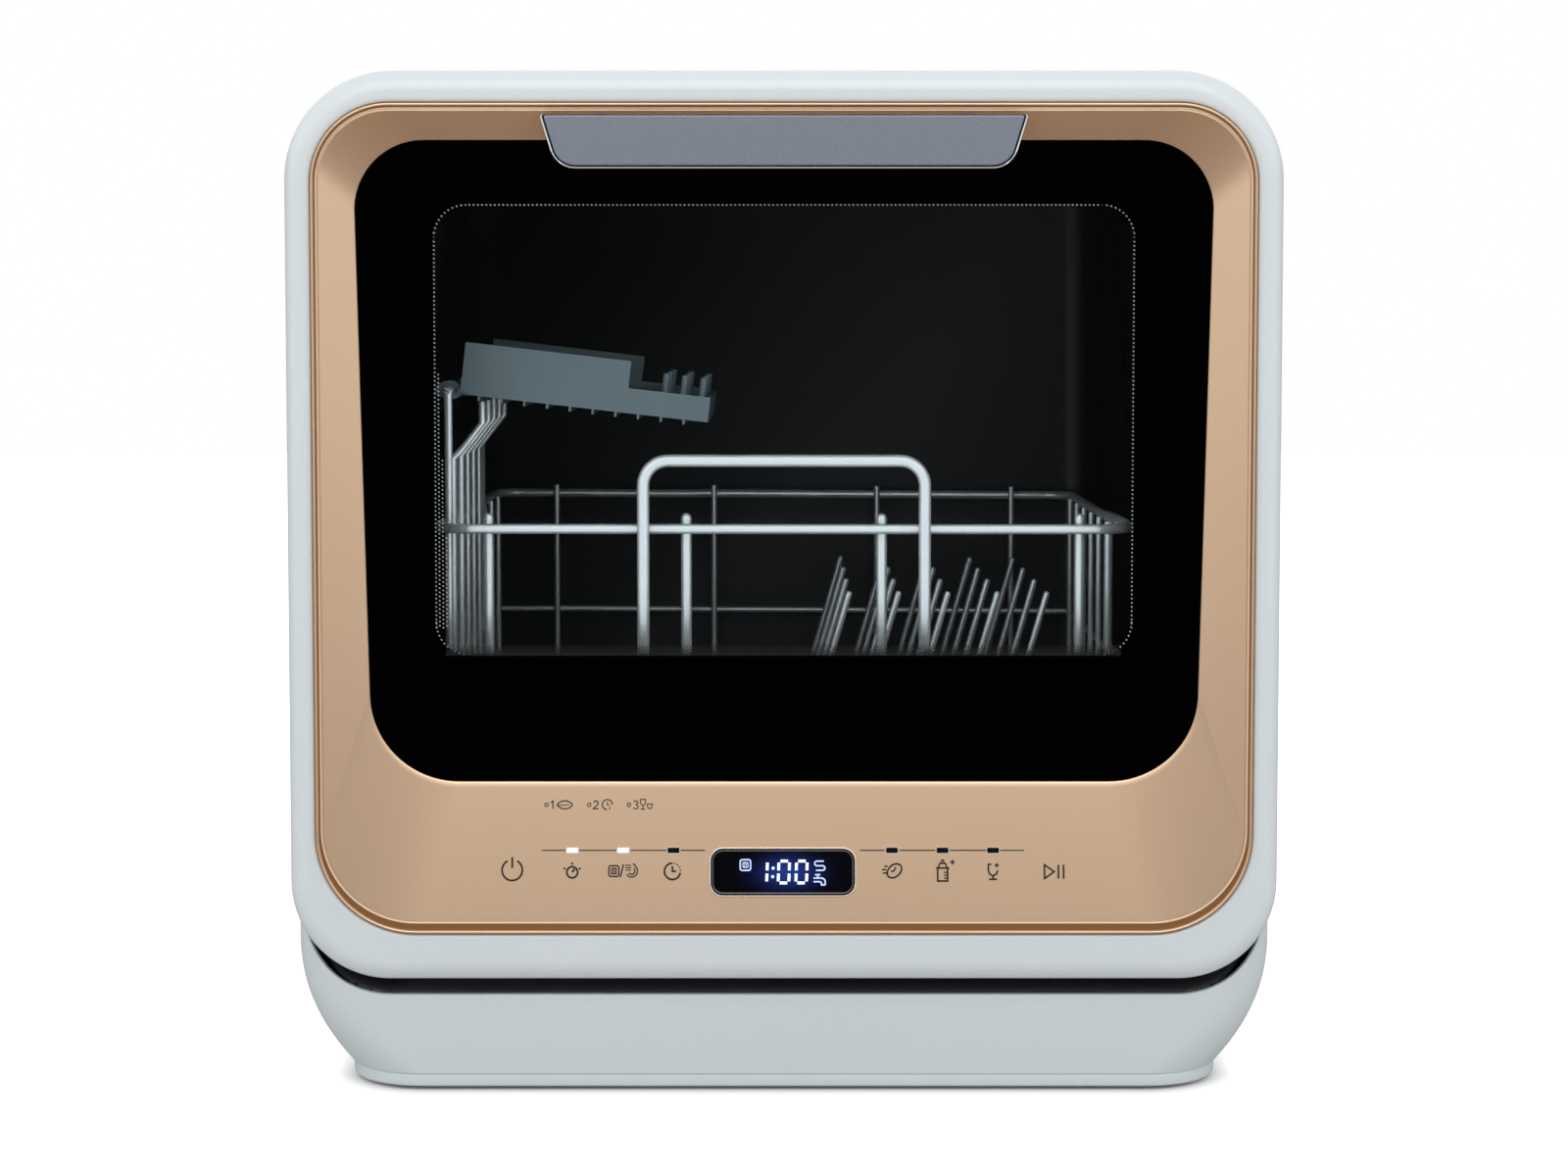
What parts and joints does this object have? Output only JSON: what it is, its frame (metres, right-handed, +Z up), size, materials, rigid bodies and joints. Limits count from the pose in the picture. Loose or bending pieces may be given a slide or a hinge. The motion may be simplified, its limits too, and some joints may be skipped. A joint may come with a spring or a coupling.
{
  "type": "countertop dishwasher",
  "caption": "Compact countertop dishwasher with a drop-down window door in a gold bezel, a roll-out wire basket and a built-in water tank.",
  "frame": {"origin": "on the worktop under the middle of the machine", "axes": "+X to the right seen from the front, +Y towards the back, +Z up; the door faces -Y"},
  "size_m": [0.42, 0.435, 0.435],
  "materials": {
    "white_shell": "smooth gloss, cool white",
    "white_base": "smooth gloss, cool white",
    "grey_frame": "satin",
    "dark_trim": "fine matt",
    "champagne": "satin champagne gold",
    "black_glass": "polished tinted glass with a printed border",
    "clear_glass": "polished clear glass",
    "rubber": "matt",
    "tub_steel": "satin dark grey",
    "liner": "satin grey",
    "pump_black": "matt",
    "steel": "brushed",
    "wire": "plated wire",
    "handle_face": "satin blue-grey mirror",
    "bright_trim": "bright",
    "lens_dark": "gloss",
    "lens_white": "frosted",
    "board": "solder mask",
    "shelf_grey": "satin",
    "natural_plastic": "satin",
    "hose_grey": "satin",
    "tank_plastic": "translucent"
  },
  "bodies": {
    "cabinet": {"outer_shell": "white_shell", "base_shell": "white_base", "base_tray": "white_base", "rubber_feet": "rubber", "kick_trim": "dark_trim", "front_frame": "grey_frame", "rear_panel": "white_base", "rear_screws": "steel", "tub": "tub_steel", "door_seal": "rubber", "basket_runners": "grey_frame", "interior_lamp": "lens_white", "sump": "pump_black", "filter_screen": "steel", "spray_post": "grey_frame", "wash_pump": "pump_black", "heater_sleeve": "steel", "drain_pump": "pump_black", "drain_hose": "hose_grey", "drain_spigot": "dark_trim", "inlet_valve": "natural_plastic", "fill_hose": "hose_grey", "water_tank": "tank_plastic", "filler_basin": "grey_frame", "fan_housing": "pump_black", "control_box": "board", "cord_gland": "rubber", "lock_housing": "dark_trim", "hinge_brackets": "steel"},
    "door": {"door_frame": "white_shell", "bezel": "champagne", "outer_glass": "black_glass", "window_seal": "rubber", "inner_window": "clear_glass", "inner_panel": "liner", "handle_plate": "handle_face", "handle_trim": "bright_trim", "display_lens": "lens_dark", "indicator_lenses": "lens_white", "touch_board": "board", "dispenser": "grey_frame", "hinge_arms": "steel", "latch_hook": "natural_plastic"},
    "basket": {"basket_floor_grid": "wire", "basket_rail": "wire", "basket_wall_grid": "wire", "basket_handle": "wire", "plate_tines": "wire"},
    "cup_shelf": {"cup_shelf": "shelf_grey"},
    "filter_cup": {"filter_cup": "natural_plastic"},
    "spray_arm": {"spray_arm": "grey_frame"},
    "wash_impeller": {"wash_impeller": "natural_plastic"},
    "drain_impeller": {"drain_impeller": "natural_plastic"},
    "fan_wheel": {"fan_wheel": "pump_black"},
    "filler_lid": {"filler_lid": "white_shell"},
    "dispenser_lid": {"dispenser_lid": "liner"},
    "roller_front_left": {"roller_front_left": "natural_plastic"},
    "roller_front_right": {"roller_front_right": "natural_plastic"},
    "roller_rear_left": {"roller_rear_left": "natural_plastic"},
    "roller_rear_right": {"roller_rear_right": "natural_plastic"}
  },
  "joints": [
    {"name": "door_hinge", "type": "hinge", "parent": "cabinet", "child": "door", "pos_m": [0, -0.2015, 0.078], "axis": [1, 0, 0], "range_deg": [0, 90]},
    {"name": "basket_slide", "type": "slide", "parent": "cabinet", "child": "basket", "axis": [0, -1, 0], "range_m": [0, 0.1285]},
    {"name": "shelf_fold", "type": "hinge", "parent": "basket", "child": "cup_shelf", "pos_m": [-0.1482, -0.0623, 0.299], "axis": [0, -1, 0], "range_deg": [0, 50]},
    {"name": "spray_arm_spin", "type": "hinge", "parent": "cabinet", "child": "spray_arm", "pos_m": [0, -0.01, 0.11], "axis": [0, 0, 1], "continuous": true},
    {"name": "filter_twist", "type": "hinge", "parent": "cabinet", "child": "filter_cup", "pos_m": [0, -0.088, 0.098], "axis": [0, 0, 1], "range_deg": [0, 90]},
    {"name": "wash_impeller_spin", "type": "hinge", "parent": "cabinet", "child": "wash_impeller", "pos_m": [0.049, -0.088, 0.045], "axis": [1, 0, 0], "continuous": true},
    {"name": "drain_impeller_spin", "type": "hinge", "parent": "cabinet", "child": "drain_impeller", "pos_m": [-0.046, -0.088, 0.05], "axis": [1, 0, 0], "continuous": true},
    {"name": "fan_spin", "type": "hinge", "parent": "cabinet", "child": "fan_wheel", "pos_m": [0.19, 0.06, 0.3], "axis": [1, 0, 0], "continuous": true},
    {"name": "filler_lid_hinge", "type": "hinge", "parent": "cabinet", "child": "filler_lid", "pos_m": [-0.105, 0.0875, 0.4307], "axis": [-1, 0, 0], "range_deg": [0, 85]},
    {"name": "dispenser_lid_slide", "type": "slide", "parent": "door", "child": "dispenser_lid", "axis": [1, 0, 0], "range_m": [0, 0.046]},
    {"name": "roller_front_left_spin", "type": "hinge", "parent": "basket", "child": "roller_front_left", "pos_m": [-0.1592, -0.0833, 0.142], "axis": [1, 0, 0], "range_deg": [-5, 925]},
    {"name": "roller_front_right_spin", "type": "hinge", "parent": "basket", "child": "roller_front_right", "pos_m": [0.1592, -0.0833, 0.142], "axis": [1, 0, 0], "range_deg": [-5, 925]},
    {"name": "roller_rear_left_spin", "type": "hinge", "parent": "basket", "child": "roller_rear_left", "pos_m": [-0.1592, 0.1027, 0.142], "axis": [1, 0, 0], "range_deg": [-5, 925]},
    {"name": "roller_rear_right_spin", "type": "hinge", "parent": "basket", "child": "roller_rear_right", "pos_m": [0.1592, 0.1027, 0.142], "axis": [1, 0, 0], "range_deg": [-5, 925]}
  ],
  "couplings": [
    {"joint": "basket_slide", "follows": "door_hinge", "m_per_rad": 0.0815},
    {"joint": "roller_front_left_spin", "follows": "door_hinge", "ratio": 10.188},
    {"joint": "roller_front_right_spin", "follows": "door_hinge", "ratio": 10.188},
    {"joint": "roller_rear_left_spin", "follows": "door_hinge", "ratio": 10.188},
    {"joint": "roller_rear_right_spin", "follows": "door_hinge", "ratio": 10.188}
  ]
}
